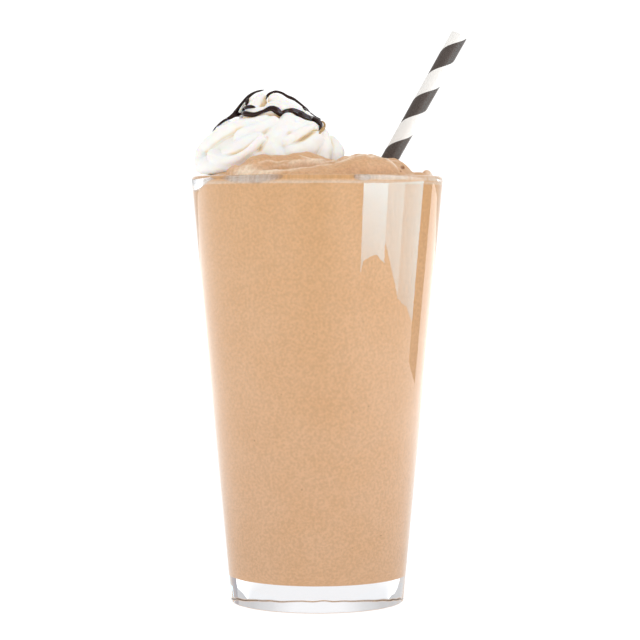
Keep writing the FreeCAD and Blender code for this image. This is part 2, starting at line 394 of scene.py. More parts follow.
@dataclass(frozen=True)
class MilkFoam:
    """Blended milk, ice cream and cocoa: a thick liquid full of tiny bubbles.

    Light scatters a little way into it, so it looks soft; it is an even beige with faint clouds where it
    was blended less, pin-prick bubbles and a few specks of cocoa. Against glass it has no shine of its own.
    """

    surface: FoamSurface
    colour: str
    cloud: str
    # painted shade: higher up the foam is multiplied towards this colour, to offset the extra lamp light on
    # the top
    upper: str = "ffffff"
    # painted shade in the foam's creases and burst pits
    crease: str = "b99f84"
    speck: str = "a9744a"
    # painted highlight on the heap's ridges, and painted light on foam that lies in shade by the rim
    streak: str = "f0dac2"
    cloud_mm: float = 14.0
    speck_mm: float = 5.0
    grain_mm: float = 0.9

    def speckled(self, tree: bpy.types.NodeTree, where: bpy.types.NodeSocket) -> bpy.types.NodeSocket:
        """The foam's own colour: faint clouds, and here and there a group of specks.

        Args:
            tree: the node tree.
            where: the place on the piece.

        Returns:
            The colour.
        """
        cloud = {"Vector": where, "Scale": 1 / (self.cloud_mm * MM), "Detail": 4.0, "Roughness": 0.55}
        clouds = add_node(tree, "TexNoise", cloud).outputs["Fac"]
        body = add_node(
            tree, "ValToRGB", {"Fac": clouds}, [(0.3, linear(self.colour)), (0.75, linear(self.cloud))]
        ).outputs["Color"]
        cells = {"Vector": where, "Scale": 1 / (self.speck_mm * MM), "Randomness": 1.0}
        specks = add_node(tree, "TexVoronoi", cells).outputs["Distance"]
        spot = add_node(
            tree, "ValToRGB", {"Fac": specks}, [(0.03, grey(1.0)), (0.07, grey(0.0))]
        ).outputs["Color"]
        group = {"Vector": where, "Scale": 1 / (self.speck_mm * 2.3 * MM), "Detail": 0.0}
        groups = add_node(tree, "TexNoise", group).outputs["Fac"]
        rare = add_node(
            tree, "ValToRGB", {"Fac": groups}, [(0.6, grey(0.0)), (0.64, grey(0.8))]
        ).outputs["Color"]
        share = add_node(tree, "Math", {0: spot, 1: rare}, operation="MULTIPLY").outputs[0]
        both = {"Factor": share, "A": body, "B": linear(self.speck)}
        return add_node(tree, "Mix", both, data_type="RGBA").outputs["Result"]

    def shaded(self, tree: bpy.types.NodeTree, where: bpy.types.NodeSocket) -> bpy.types.NodeSocket:
        """What the colour is multiplied by: painted shade, darker and yellower towards the top and darker in
        creases.

        Args:
            tree: the node tree.
            where: the place on the piece.

        Returns:
            The factor, as a colour.
        """
        # Painted shade: darker and yellower towards the top, offsetting the lamps that light the top more.
        above = add_node(tree, "SeparateXYZ", {"Vector": where}).outputs["Z"]
        climb = {"Value": above, "From Min": 40 * MM, "From Max": 145 * MM, "To Max": 1.0}
        up = add_node(tree, "MapRange", climb).outputs[0]
        both = {"Factor": up, "A": grey(1.0), "B": linear(self.upper)}
        painted_top_shade = add_node(tree, "Mix", both, data_type="RGBA").outputs["Result"]
        # Painted shade: darker where the skin is closed in, in creases and burst pits.
        hollow = add_node(tree, "Attribute", attribute_name="hollow").outputs["Fac"]
        shade = add_node(tree, "MapRange", {"Value": hollow, "From Min": 0.25, "From Max": 1.0}).outputs[0]
        both = {"Factor": shade, "A": painted_top_shade, "B": linear(self.crease)}
        return add_node(tree, "Mix", both, data_type="RGBA").outputs["Result"]

    def material(self) -> bpy.types.Material:
        """Builds it.

        Returns:
            The material.
        """
        material, tree = empty_material("milk_foam_" + self.surface.value)
        where = add_node(tree, "TexCoord").outputs["Object"]
        both = {"Factor": 1.0, "A": self.speckled(tree, where), "B": self.shaded(tree, where)}
        colour = add_node(tree, "Mix", both, data_type="RGBA", blend_type="MULTIPLY").outputs["Result"]
        # Painted highlight and painted light: the attribute streak turns the foam pale on the heap's ridges
        # and on shaded foam by the rim.
        line = add_node(tree, "Attribute", attribute_name="streak").outputs["Fac"]
        painted_light_share = add_node(tree, "Math", {0: line, 1: 0.85}, operation="MULTIPLY", use_clamp=True).outputs[0]
        both = {"Factor": painted_light_share, "A": colour, "B": linear(self.streak)}
        colour = add_node(tree, "Mix", both, data_type="RGBA").outputs["Result"]
        size = {"Vector": where, "Scale": 1 / (self.grain_mm * MM), "Detail": 3.0}
        grain = add_node(tree, "TexNoise", size).outputs["Fac"]
        mottle = add_node(
            tree, "ValToRGB", {"Fac": grain}, [(0.38, (0.87, 0.86, 0.84, 1.0)), (0.62, grey(1.0))]
        ).outputs["Color"]
        both = {"Factor": 1.0, "A": colour, "B": mottle}
        colour = add_node(tree, "Mix", both, data_type="RGBA", blend_type="MULTIPLY").outputs["Result"]
        is_open = self.surface is FoamSurface.OPEN
        surface = {
            "Base Color": colour,
            "Roughness": 0.48 if is_open else 0.9,
            "IOR": 1.35,
            "Specular IOR Level": 0.35 if is_open else 0.0,
            "Subsurface Weight": 0.25 if is_open else 0.0,
            "Subsurface Radius": (1.0, 0.6, 0.35),
            "Subsurface Scale": 2.0 * MM,
        }
        end_with_relief(tree, grain, 0.6 if is_open else 0.15, 0.3, surface)
        return material


@dataclass(frozen=True)
class WhippedDairyCream:
    """Whipped dairy cream: fat foam, very white and soft.

    Light passes a little way through it, so it looks soft; its creases, which the attribute "hollow" marks,
    get a painted warm, darker shade standing in for the light and shade in the folds; its skin is satin with
    small pits left by burst bubbles.
    """

    colour: str = "f2f0ee"
    cloud: str = "f0eee8"
    # painted warm shade in the creases
    crease: str = "e6c890"
    cloud_mm: float = 9.0
    pit_mm: float = 1.6

    def material(self) -> bpy.types.Material:
        """Builds it.

        Returns:
            The material.
        """
        material, tree = empty_material("whipped_dairy_cream")
        where = add_node(tree, "TexCoord").outputs["Object"]
        cloud = {"Vector": where, "Scale": 1 / (self.cloud_mm * MM), "Detail": 3.0}
        clouds = add_node(tree, "TexNoise", cloud).outputs["Fac"]
        body = add_node(
            tree, "ValToRGB", {"Fac": clouds}, [(0.3, linear(self.colour)), (0.8, linear(self.cloud))]
        ).outputs["Color"]
        # Painted shade: warmer and darker where the skin is closed in.
        hollow = add_node(tree, "Attribute", attribute_name="hollow").outputs["Fac"]
        deep = {"Value": hollow, "From Min": 0.3, "From Max": 1.0, "To Max": 0.7}
        both = {"Factor": add_node(tree, "MapRange", deep).outputs[0], "A": body, "B": linear(self.crease)}
        colour = add_node(tree, "Mix", both, data_type="RGBA").outputs["Result"]
        pit = {"Vector": where, "Scale": 1 / (self.pit_mm * MM), "Detail": 2.0, "Roughness": 0.5}
        pits = add_node(tree, "TexNoise", pit).outputs["Fac"]
        surface = {
            "Base Color": colour,
            "Roughness": 0.5,
            "IOR": 1.4,
            "Subsurface Weight": 1.0,
            "Subsurface Radius": (1.0, 0.75, 0.5),
            "Subsurface Scale": 0.7 * MM,
        }
        end_with_relief(tree, pits, 0.25, 0.35, surface)
        return material


@dataclass(frozen=True)
class ChocolateSauce:
    """Thin chocolate sauce: sugar syrup with cocoa, poured from a bottle.

    Nearly black with a brown edge where it runs thin, and as glossy as wet paint.
    """

    colour: str = "170a08"
    paler: str = "26120d"
    film: str = "b3925f"
    sheen: str = "ffe2dc"
    streak_mm: float = 3.0

    def material(self) -> bpy.types.Material:
        """Builds it.

        Returns:
            The material.
        """
        material, tree = empty_material("chocolate_sauce")
        where = add_node(tree, "TexCoord").outputs["Object"]
        streak = {"Vector": where, "Scale": 1 / (self.streak_mm * MM), "Detail": 2.0}
        streaks = add_node(tree, "TexNoise", streak).outputs["Fac"]
        body = add_node(
            tree, "ValToRGB", {"Fac": streaks}, [(0.35, linear(self.colour)), (0.75, linear(self.paler))]
        ).outputs["Color"]
        thin = add_node(tree, "Attribute", attribute_name="film").outputs["Fac"]
        both = {"Factor": thin, "A": body, "B": linear(self.film)}
        colour = add_node(tree, "Mix", both, data_type="RGBA").outputs["Result"]
        surface = {"Base Color": colour, "Roughness": 0.14, "IOR": 1.46, "Specular Tint": linear(self.sheen)}
        end_with_relief(tree, streaks, 0.2, 0.2, surface)
        return material


@dataclass(frozen=True)
class PrintedPaper:
    """Kraft paper tape, printed in two colours, wound in a spiral, glued and lightly waxed.

    The print is crisp at the edge of each stripe, the paper's fibres show as fine mottling in the black,
    and the wax gives a satin sheen.
    """

    white: str = "ecebe8"
    black: str = "33302f"
    worn: str = "5a5654"
    wax: str = "ffd2b8"
    fibre_mm: float = 0.35

    def material(self) -> bpy.types.Material:
        """Builds it: the stripe follows the piece's own UV map, whose U runs once for each turn of tape.

        Returns:
            The material.
        """
        material, tree = empty_material("spiral_wound_printed_paper")
        wrap = add_node(tree, "UVMap", uv_map="wrap").outputs["UV"]
        split = add_node(tree, "SeparateXYZ", {"Vector": wrap}).outputs
        lap = add_node(tree, "Math", {0: split["X"]}, operation="FRACT").outputs[0]
        edges = [(0.0, grey(0.0)), (0.008, grey(1.0)), (0.492, grey(1.0)), (0.5, grey(0.0))]
        print_edges = add_node(tree, "ValToRGB", {"Fac": lap}, edges).outputs["Color"]
        both = {0: split["Y"], 1: print_edges}
        outside = add_node(tree, "Math", both, operation="MULTIPLY").outputs[0]
        where = add_node(tree, "TexCoord").outputs["Object"]
        size = {"Vector": where, "Scale": 1 / (self.fibre_mm * MM), "Detail": 3.0, "Roughness": 0.65}
        fibre = add_node(tree, "TexNoise", size).outputs["Fac"]
        ink = add_node(
            tree, "ValToRGB", {"Fac": fibre}, [(0.3, linear(self.black)), (0.75, linear(self.worn))]
        ).outputs["Color"]
        both = {"Factor": outside, "A": linear(self.white), "B": ink}
        colour = add_node(tree, "Mix", both, data_type="RGBA").outputs["Result"]
        surface = {"Base Color": colour, "Roughness": 0.42, "IOR": 1.5, "Specular Tint": linear(self.wax)}
        end_with_relief(tree, fibre, 0.3, 0.06, surface)
        return material


@dataclass(frozen=True)
class LightTable:
    """The studio's light table: opal acrylic, lit from below, so that hardly a shadow shows on it.

    Its tubes lie at both sides, so it glows more there: the pairs are shares of the width that they light
    and of the glow.
    """

    colour: str = "606060"
    glow: float = 1.9
    half_width: float = 350.0
    tubes: tuple[tuple[float, float], ...] = ((0.0, 0.85), (0.43, 0.51), (0.57, 0.5), (1.0, 1.0))

    def material(self) -> bpy.types.Material:
        """Builds it.

        Returns:
            The material.
        """
        material, tree = empty_material("opal_acrylic_light_table")
        place = add_node(tree, "SeparateXYZ", {"Vector": add_node(tree, "TexCoord").outputs["Object"]})
        reach = self.half_width * MM
        width = {"Value": place.outputs["X"], "From Min": -reach, "From Max": reach}
        across = add_node(tree, "MapRange", width).outputs[0]
        glow = add_node(
            tree, "ValToRGB", {"Fac": across}, [(share, grey(level)) for share, level in self.tubes]
        ).outputs["Color"]
        surface = {
            "Base Color": linear(self.colour),
            "Roughness": 0.9,
            "Specular IOR Level": 0.1,
            "Emission Color": glow,
            "Emission Strength": self.glow,
        }
        add_node(tree, "OutputMaterial", {"Surface": add_node(tree, "BsdfPrincipled", surface).outputs[0]})
        return material


# --- the glass


@dataclass
class MixingGlass:
    """A straight-sided tapered glass with a heavy floor and a rounded lip, turned about the Z axis."""

    foot_diameter: float = 61.0
    rim_wall: float = 3.2
    foot_wall: float = 5.0
    lip_radius: float = 1.3
    heel_radius: float = 0.55
    floor_corner_radius: float = 5.0
    heel_unevenness: float = 0.1
    around: int = 288
    height: float = field(init=False)
    rim_radius: float = field(init=False)
    floor: float = field(init=False)

    def __post_init__(self) -> None:
        """Takes the height, the rim and the floor from the frame."""
        low, high = node_box("glass")
        self.height = high[2]
        self.rim_radius = (high[0] - low[0] + high[1] - low[1]) / 4
        self.floor = node_box("milkshake")[0][2]

    def outside(self, height: np.ndarray) -> np.ndarray:
        """Outside radius at a height: a straight line from the foot to the rim."""
        foot = self.foot_diameter / 2
        return foot + (self.rim_radius - foot) * height / self.height

    def inside(self, height: np.ndarray) -> np.ndarray:
        """Inside radius of the wall.

        Formula: a straight line from the floor to the rim.

        Args:
            height: heights above the foot.

        Returns:
            The radius at each height.
        """
        low = self.outside(self.floor) - self.foot_wall
        high = self.rim_radius - self.rim_wall
        return low + (high - low) * (height - self.floor) / (self.height - self.floor)

    def corners(self) -> list[tuple[float, float, float]]:
        """The outline's corners, from the heel round to the floor.

        Returns:
            The radius, height and rounding of each.
        """
        return [
            (self.foot_diameter / 2, 0.0, self.heel_radius),
            (self.rim_radius, self.height, self.lip_radius),
            (self.rim_radius - self.rim_wall, self.height, self.lip_radius),
            (float(self.inside(self.floor)), self.floor, self.floor_corner_radius),
        ]

    def outline(self) -> np.ndarray:
        """The wall's outline from the middle of the foot to the middle of the floor.

        Formula: between the corners it is straight, and each corner is an arc of its own radius that
        touches both sides, found from the half angle between them.

        Returns:
            Radius and height of each point.
        """
        ends = [(0.0, 0.0, 0.0), *self.corners(), (0.0, self.floor, 0.0)]
        points = []
        for before, corner, after in zip(ends, ends[1:], ends[2:]):
            at = np.array(corner[:2])
            back, on = unit(np.array(before[:2]) - at), unit(np.array(after[:2]) - at)
            half = math.acos(float(np.clip(back @ on, -1, 1))) / 2
            centre = at + unit(back + on) * corner[2] / math.sin(half)
            start, end = (at + way * corner[2] / math.tan(half) for way in (back, on))
            angles = [math.atan2(*(p - centre)[::-1]) for p in (start, end)]
            swing = (angles[1] - angles[0] + math.pi) % FULL_TURN - math.pi
            sweep = angles[0] + swing * np.linspace(0, 1, 14)
            points.append(centre + corner[2] * np.stack([np.cos(sweep), np.sin(sweep)], axis=1))
        walls = [points[0]]
        for arc in points[1:]:
            share = np.linspace(0, 1, 26)[1:-1, None]
            walls += [walls[-1][-1] * (1 - share) + arc[0] * share, arc]
        flat = np.array([0.2, 0.45, 0.7, 0.9])[:, None]
        under = np.hstack([flat * walls[0][0][0], np.zeros_like(flat)])
        inner = np.hstack([flat[::-1] * walls[-1][-1][0], np.full_like(flat, self.floor)])
        return np.vstack([under, *walls, inner])

    def floor_corner(self, beyond: float) -> np.ndarray:
        """The arc between floor and wall inside, moved into the glass.

        Formula: the same arc as in the outline, about the same middle, with a larger radius.

        Args:
            beyond: how far into the glass.

        Returns:
            Radius and height of each point, from the floor up.
        """
        floor_radius = float(self.inside(self.floor))
        lean = math.atan2(float(self.inside(self.height)) - floor_radius, self.height - self.floor)
        half = (math.pi / 2 + lean) / 2
        r = self.floor_corner_radius
        centre = np.array([floor_radius - r / math.tan(half), self.floor + r])
        sweep = np.linspace(-math.pi / 2, -lean, 12)
        return centre + (r + beyond) * np.stack([np.cos(sweep), np.sin(sweep)], axis=1)

    def build(self, finish: PressedGlass) -> bpy.types.Object:
        """Turns the outline about the Z axis.

        Formula: each outline point goes round a circle of its own radius; the heel's circle is a
        little uneven, as in a pressed foot.

        Args:
            finish: its glass.

        Returns:
            The glass.
        """
        outline = self.outline()
        turn = np.arange(self.around) / self.around * FULL_TURN
        radius = np.repeat(outline[:, :1], self.around, axis=1)
        height = np.repeat(outline[:, 1:], self.around, axis=1)
        low = 1 - smooth_step(1.0, 4.0, height)
        circle = np.stack([np.cos(turn), np.sin(turn), np.zeros_like(turn)], axis=1)
        radius = radius + self.heel_unevenness * low * ripples(circle * self.rim_radius, 9.0, 5)[None, :]
        rings = np.stack([radius * np.cos(turn), radius * np.sin(turn), height], axis=-1)
        start, end = np.zeros(3), np.array([0.0, 0.0, self.floor])
        piece = new_piece("mixing_glass", *skin(rings, start, end), [finish.material()])
        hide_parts("glass")
        return piece


# --- soft folded masses


@dataclass(frozen=True)
class Stroke:
    """One rounded roll of soft food: a thick line through a few points, thinner or thicker at its ends."""

    points: tuple[tuple[float, float, float], ...]
    thickness: tuple[float, float]


@dataclass
class FoldedMass:
    """A soft body made of a core and of rolls that lie on it and sink into each other.

    The body is known by its distance field: how far any point is from its skin.
    """

    strokes: list[Stroke]
    softness: float
    steps: int = 10

    def core(self, points: np.ndarray) -> np.ndarray:
        """Distance from each point to the core: here there is none, so it is large."""
        return np.full(points.shape[:-1], 1e3)

    def prepare(self) -> None:
        """Samples every roll once: its middle line, its radii and the ball that holds it."""
        self.lines = []
        for stroke in self.strokes:
            line = spline_through(np.array(stroke.points), self.steps).astype(np.float32)
            radii = np.linspace(*stroke.thickness, self.steps).astype(np.float32)
            middle = (line.min(0) + line.max(0)) / 2
            reach = float((np.linalg.norm(line - middle, axis=1) + radii).max())
            self.lines.append((line, radii, middle, reach))

    def distance(self, points: np.ndarray) -> np.ndarray:
        """Distance from each point to the skin, less than 0 inside.

        Formula: each roll is a chain of short lines swept by a ball whose radius eases from one end to the
        other; the distance to it is that to its nearest line less the radius there. Rolls and core are
        joined by the rounded minimum. A roll whose holding ball is too far away to matter is passed over.

        Args:
            points: where to work it out.

        Returns:
            One distance for each point.
        """
        total = self.core(points).astype(np.float32)
        for line, radii, middle, reach in self.lines:
            near = np.linalg.norm(points - middle, axis=-1) - reach < total + self.softness
            if not near.any():
                continue
            some = points[near]
            nearest = np.full(len(some), 1e3, dtype=np.float32)
            for start, end, thin, thick in zip(line, line[1:], radii, radii[1:]):
                way = end - start
                share = np.clip((some - start) @ way / (way @ way), 0.0, 1.0)
                gap = np.linalg.norm(some - start - share[:, None] * way, axis=-1)
                nearest = np.minimum(nearest, gap - thin - (thick - thin) * share)
            total[near] = smooth_least(total[near], nearest, self.softness)
        return total

    def march(self, points: np.ndarray, ways: np.ndarray, rounds: int) -> np.ndarray:
        """Steps points along their rays towards the skin.

        Formula: each step is nine tenths of the distance to the skin.

        Args:
            points: where they are.
            ways: unit directions.
            rounds: number of steps.

        Returns:
            How far each has gone.
        """
        gone = np.zeros(points.shape[:-1], dtype=np.float32)
        for _ in range(rounds):
            gone += self.distance(points + ways * gone[..., None]) * 0.9
        return gone

    def meet(self, origins: np.ndarray, ways: np.ndarray, rounds: int = 26) -> np.ndarray:
        """Where a net of rays from outside meets the skin.

        Formula: every fourth ray of the net is followed all the way; the others start a little before the
        least of what their neighbours have gone, and so need few steps.

        Args:
            origins: where the rays start, by row and place in the row.
            ways: their unit directions.
            rounds: number of steps of the first rays.

        Returns:
            The points reached.
        """
        origins, ways = origins.astype(np.float32), ways.astype(np.float32)
        coarse = self.march(origins[::4, ::4], ways[::4, ::4], rounds)
        least = coarse.copy()
        for shift in (-1, 1):
            least = np.minimum(least, np.roll(coarse, shift, axis=1))
        least[1:] = np.minimum(least[1:], least[:-1].copy())
        least[:-1] = np.minimum(least[:-1], least[1:].copy())
        rows, places = origins.shape[:2]
        ahead = least[(np.arange(rows) // 4)[:, None], (np.arange(places) // 4)[None, :]] - 0.5
        ahead += self.march(origins + ways * ahead[..., None], ways, 12)
        return (origins + ways * ahead[..., None]).astype(float)

    def hollows(self, piece: bpy.types.Object, reach: float) -> np.ndarray:
        """How closed in each vertex of a piece is.

        Formula: a point is put out from the skin by the reach, square to it; on a free, round surface it
        is as far from the skin as that, in a crease it is nearer. The shortfall, as a share, is kept.

        Args:
            piece: the piece.
            reach: how far out to look, in millimetres.

        Returns:
            0 where the skin is free and 1 deep in a crease.
        """
        count = len(piece.data.vertices)
        flat, normals = np.empty(count * 3), np.empty(count * 3)
        piece.data.vertices.foreach_get("co", flat)
        piece.data.vertex_normals.foreach_get("vector", normals)
        out = (flat / MM + normals * reach).reshape(-1, 3)
        return np.clip(1 - self.distance(out.astype(np.float32)) / reach, 0.0, 1.0).astype(float)


@dataclass
class PipedCream(FoldedMass):
    """One dollop of whipped cream: a dome of rolls that wind up to a soft peak."""

    strokes: list[Stroke] = field(default_factory=list)
    softness: float = 0.7
    around: int = 430
    rise: int = 215
    across: float = -16.7
    behind: float = 5.0
    crease_reach: float = 2.2

    def __post_init__(self) -> None:
        """Takes its height from the frame, and lays its rolls."""
        self.base = node_box("glass")[1][2]
        self.centre = np.array([self.across, self.behind, self.base])
        self.tall = node_box("whipped_cream")[1][2] - self.base
        self.strokes = [self.front_roll(*numbers) for numbers in CREAM_FRONT_ROLLS]
        self.strokes += [self.back_roll(*numbers) for numbers in CREAM_BACK_ROLLS]
        self.prepare()

    def outline(self, height: float) -> float:
        """The dome's radius at a height above the rim, read between the rows of its table."""
        return float(np.interp(height, *np.array(CREAM_OUTLINE).T))

    def sunk(self, turn: float, height: float, depth: float) -> tuple:
        """A point under the dome's surface.

        Formula: the point on the surface, moved inwards square to it; the slope comes from the outline
        half a millimetre higher and lower.

        Args:
            turn: angle round the dome's axis, in radians.
            height: height above the rim.
            depth: how far under the surface.

        Returns:
            The point.
        """
        slope = self.outline(height + 0.5) - self.outline(height - 0.5)
        tilt = math.hypot(1.0, slope)
        out = max(self.outline(height) - depth / tilt, 0.0)
        place = self.centre + [out * math.cos(turn), out * math.sin(turn), height + depth * slope / tilt]
        return tuple(place)

    def front_roll(self, points: tuple, thickness: tuple, lift: tuple) -> Stroke:
        """A roll on the front, given as it is seen from the eye.

        Formula: the places are read in the plane of the glass's axis; the roll is nearer to the eye than
        that, so they shrink towards the eye's own height and place by as much.

        Args:
            points: places of its crest across from the glass's axis and above the rim.
            thickness: its radius at both ends.
            lift: how far it stands out of the dome at both ends.

        Returns:
            The roll.
        """
        placed = []
        shares = np.linspace(0, 1, len(points))
        thick, out = np.interp(shares, (0, 1), thickness), np.interp(shares, (0, 1), lift)
        for (across, height), depth in zip(points, thick - out):
            share = min(max((across - self.across) / max(self.outline(height), 0.1), -1.0), 1.0)
            nearer = (self.behind - self.outline(height) * math.sqrt(1 - share**2)) / EYE[1]
            across -= (across - EYE[0]) * nearer
            height -= (self.base + height - EYE[2]) * nearer
            share = min(max((across - self.across) / max(self.outline(height), 0.1), -1.0), 1.0)
            placed.append(self.sunk(-math.acos(share), height, depth))
        return Stroke(tuple(placed), thickness)

    def back_roll(self, turns: tuple, heights: tuple, thickness: tuple) -> Stroke:
        """A roll on the sides or the back.

        Args:
            turns: angles round the dome from +X, in degrees.
            heights: heights above the rim at those angles.
            thickness: its radius at both ends.

        Returns:
            The roll.
        """
        placed = []
        for i, (turn, height) in enumerate(zip(turns, heights)):
            depth = thickness[0] + (thickness[1] - thickness[0]) * i / (len(turns) - 1)
            placed.append(self.sunk(math.radians(turn), height, depth))
        return Stroke(tuple(placed), thickness)

    def core(self, points: np.ndarray) -> np.ndarray:
        """Distance to the dome inside the rolls.

        Formula: the way out from the axis less the outline there, made a little smaller, with both read
        from the same table; capped by the height over the peak.

        Args:
            points: where to work it out.

        Returns:
            One distance for each point.
        """
        way = points - self.centre
        out = np.hypot(way[..., 0], way[..., 1])
        heights, radii = np.array(CREAM_OUTLINE).T
        inner = np.interp(way[..., 2] * 1.08, heights, radii) - 3.2
        return np.maximum(out - inner, way[..., 2] - self.tall + 4.5) * 0.75

    def build(self, finish: WhippedDairyCream) -> bpy.types.Object:
        """Shrinks a net of rays onto the rolls.

        Formula: rays come in from all round, from below the base's edge to straight down on the peak, to a
        point on the axis a third of the way up. The skin then gets soft unevenness along its rays, and its
        underside is held just above the lip of the glass.

        Args:
            finish: its cream.

        Returns:
            The cream.
        """
        turn = np.arange(self.around) / self.around * FULL_TURN
        climb = np.radians(np.linspace(-36, 89.5, self.rise))[:, None]
        ways = np.stack(
            [np.cos(climb) * np.cos(turn), np.cos(climb) * np.sin(turn), np.sin(climb) + 0 * turn], axis=-1
        )
        heart = self.centre + [0, 0, self.tall * 0.3]
        skin_points = self.meet(heart + ways * self.tall * 1.6, -ways, rounds=34)
        relief = 0.16 * ripples(skin_points, 6.0, 11) + 0.07 * ripples(skin_points, 2.4, 12)
        skin_points += ways * relief[..., None]
        floor = self.base + 0.35
        skin_points[..., 2] = floor + np.logaddexp(0, (skin_points[..., 2] - floor) * 3) / 3
        start = np.array([self.centre[0], self.centre[1], self.base + 0.4])
        piece = new_piece(
            "piped_cream", *skin(skin_points, start, skin_points[-1].mean(0)), [finish.material()]
        )
        # Marks how closed in the skin is, for the painted crease shade.
        mark(piece, "hollow", self.hollows(piece, self.crease_reach))
        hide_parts("whipped_cream")
        return piece


# The dome's outline: heights above the rim and radii there.
CREAM_OUTLINE = (
    (-2, 23.5), (0, 25.0), (3, 26.2), (6, 26.5), (10, 25.2), (14, 22.4), (18, 18.7), (21, 15.6), (25, 11.2),
    (28, 6.8), (29.6, 3.0), (30.2, 0.2), (32, 0.0),
)

# Each roll seen from the front: its crest, its thickness at both ends and how far it stands out. They climb
# to the right, as the nozzle turned.
CREAM_FRONT_ROLLS = (
    (((-42.2, 3.0), (-42.6, 5.6), (-41.8, 9.2), (-38.9, 12.9), (-34.9, 16.2), (-29.5, 19.0)),
     (2.9, 2.4), (0.7, 0.5)),
    (((-33.8, 8.6), (-29.8, 11.2), (-25.6, 12.8), (-21.8, 13.8)), (2.2, 4.0), (-0.7, 0.2)),
    (((-27.4, 15.8), (-24.0, 17.0), (-19.7, 18.2), (-15.6, 19.8)), (3.2, 2.8), (-0.1, 0.9)),
    (((-28.6, 19.4), (-23.4, 19.8), (-18.6, 20.8)), (2.8, 2.6), (0.2, 0.2)),
    (
        ((-38.6, 8.2), (-36.4, 5.9), (-32.0, 5.1), (-27.9, 6.3), (-24.4, 8.4), (-21.6, 10.8), (-19.6, 12.4)),
        (2.1, 1.3),
        (-0.1, 2.5),
    ),
    (((-41.6, 3.6), (-36.8, 2.6), (-29.6, 3.6), (-21.6, 7.4)), (3.4, 2.6), (0.1, 0.1)),
    (((-15.0, 7.5), (-16.6, 11.7), (-14.4, 15.2), (-11.0, 19.2), (-9.4, 21.2)), (4.8, 3.0), (0.6, 0.6)),
    (((-10.6, 12.8), (-5.9, 15.4), (-2.6, 16.9)), (2.0, 1.3), (0.2, 1.5)),
    (((-8.8, 17.4), (-4.5, 18.6)), (2.4, 2.0), (0.5, 0.5)),
    (((-8.0, 8.6), (-2.8, 10.6), (1.0, 14.4)), (4.0, 3.4), (0.2, 0.5)),
    (((3.4, 7.0), (4.2, 11.0), (3.2, 16.0)), (3.4, 2.4), (0.3, 0.3)),
    (((-4.3, 22.5), (-8.4, 24.9), (-12.5, 26.9), (-15.0, 28.4)), (3.4, 2.2), (0.5, 0.5)),
    (((-23.5, 24.5), (-21.9, 26.9), (-19.9, 28.8)), (2.8, 1.6), (0.5, 0.5)),
    (((-24.8, 23.1), (-19.0, 23.9), (-14.1, 24.5), (-9.2, 24.3)), (2.4, 2.6), (0.0, 0.0)),
    (((-15.8, 26.0), (-13.0, 25.6), (-9.0, 24.2)), (2.6, 2.6), (0.0, 0.2)),
    (((-6.8, 20.4), (-3.5, 19.2), (-0.4, 18.4)), (2.6, 2.2), (0.2, 0.2)),
    (((6.9, 12.8), (8.2, 10.0), (7.9, 7.0), (7.4, 4.5)), (2.7, 3.6), (0.8, 1.2)),
)

# Each roll on the sides and the back: angles, heights and thickness at both ends.
CREAM_BACK_ROLLS = (
    ((352, 366, 382), (4, 8, 13), (4.2, 3.4)),
    ((20, 42, 66), (4, 11, 18), (5.4, 3.6)),
    ((50, 74, 98), (3, 10, 18), (5.4, 3.6)),
    ((82, 106, 130), (3, 10, 18), (5.4, 3.6)),
    ((114, 138, 160), (3, 10.5, 18.5), (5.6, 3.6)),
    ((146, 164, 186), (3, 11, 19), (5.4, 3.4)),
    ((352, 392, 430), (19, 22.5, 25.5), (3.8, 2.8)),
    ((30, 80, 130), (21.0, 24.5, 27), (3.8, 2.6)),
    ((110, 150, 190), (20.5, 24.5, 27.5), (3.8, 2.4)),
)


# --- the drink


